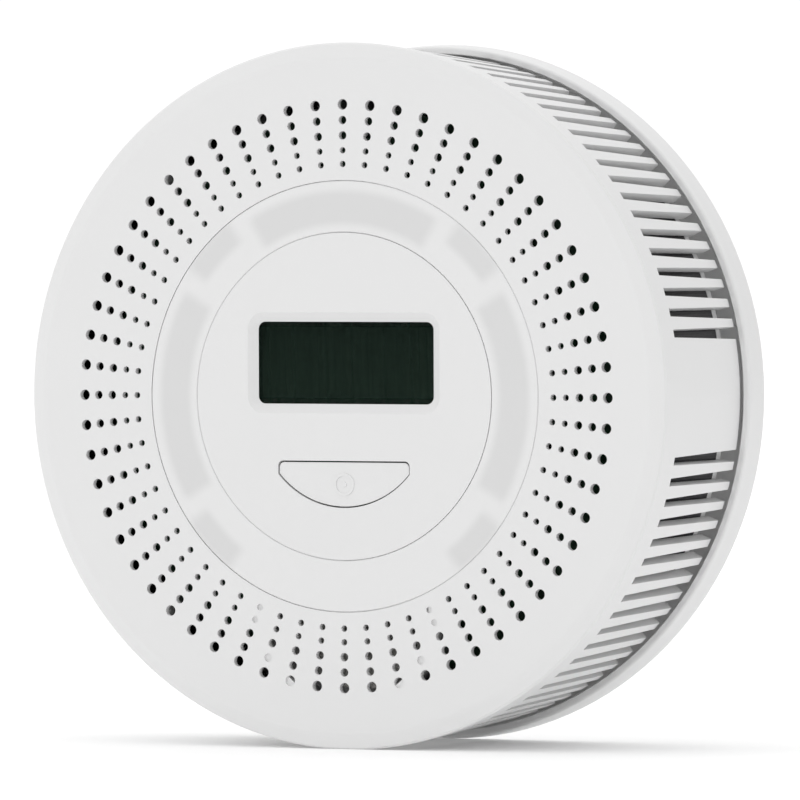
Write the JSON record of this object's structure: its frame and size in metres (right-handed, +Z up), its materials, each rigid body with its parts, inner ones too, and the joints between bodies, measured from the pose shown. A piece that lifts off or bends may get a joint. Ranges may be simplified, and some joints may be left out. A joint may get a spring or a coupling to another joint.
{
  "type": "carbon monoxide detector",
  "caption": "Round wall-mounted battery gas alarm with a perforated face, display window, test button, translucent ring, slotted side and a twist-off mounting plate.",
  "frame": {"origin": "centre of the mounting plate's back face, in the plane of the wall", "axes": "+Y into the wall, -Y out of the front face, +X to the right seen from the front, +Z up"},
  "size_m": [0.1188, 0.041, 0.1188],
  "materials": {
    "white_plastic": "fine satin moulding texture",
    "diffuser_plastic": "translucent white, satin",
    "inner_white_plastic": "satin moulding texture",
    "window_glass": "clear polished window",
    "lcd_green": "dark green liquid crystal cell",
    "pink_elastomer": "matt",
    "led_resin": "clear yellowish resin",
    "black_plastic": "moulded, satin",
    "board_laminate": "solder mask, semi gloss",
    "zinc_steel": "zinc plated",
    "spring_steel": "nickel plated",
    "nickel_plate": "rolled nickel alloy",
    "piezo_ceramic": "silvered ceramic",
    "capacitor_sleeve": "shrink sleeve",
    "coil_wire": "enamelled copper",
    "dark_mesh": "woven mesh, black",
    "battery_sleeve": "shrink sleeve",
    "label_paper": "blank matt label"
  },
  "bodies": {
    "wall_plate": {"mounting_plate": "white_plastic"},
    "head": {"front_cover": "white_plastic", "light_ring": "diffuser_plastic", "centre_panel": "white_plastic", "lcd_window": "window_glass", "lcd_cell": "lcd_green", "lcd_holder": "inner_white_plastic", "zebra_strips": "pink_elastomer", "light_baffle": "inner_white_plastic", "indicator_leds": "led_resin", "switch_body": "black_plastic", "main_board": "board_laminate", "board_screws": "zinc_steel", "sounder_housing": "inner_white_plastic", "piezo_plate": "nickel_plate", "piezo_ceramic": "piezo_ceramic", "microcontroller": "black_plastic", "signal_amplifier": "black_plastic", "capacitors": "capacitor_sleeve", "boost_coil": "coil_wire", "co_sensor_body": "zinc_steel", "co_sensor_cap": "black_plastic", "co_sensor_pins": "zinc_steel", "insect_screen": "dark_mesh", "rear_housing": "inner_white_plastic", "housing_screws": "zinc_steel", "battery_1": "battery_sleeve", "battery_2": "battery_sleeve", "battery_3": "battery_sleeve", "contact_springs": "spring_steel", "contact_plates": "spring_steel", "rating_label": "label_paper"},
    "button": {"test_button": "white_plastic"},
    "plunger": {"switch_plunger": "black_plastic"},
    "door": {"battery_door": "inner_white_plastic"}
  },
  "joints": [
    {"name": "head_twist", "type": "hinge", "parent": "wall_plate", "child": "head", "pos_m": [0, 0, 0], "axis": [0, -1, 0], "range_deg": [0, 16]},
    {"name": "button_press", "type": "slide", "parent": "head", "child": "button", "axis": [0, 1, 0], "range_m": [0, 0.0006], "stiffness_N_per_m": 800, "springref_m": -0.001},
    {"name": "plunger_slide", "type": "slide", "parent": "head", "child": "plunger", "axis": [0, 1, 0], "range_m": [0, 0.0006]},
    {"name": "battery_door_hinge", "type": "hinge", "parent": "head", "child": "door", "pos_m": [0, -0.0077, 0.0229], "axis": [1, 0, 0], "range_deg": [0, 95]}
  ],
  "couplings": [
    {"joint": "plunger_slide", "follows": "button_press", "ratio": 1}
  ]
}
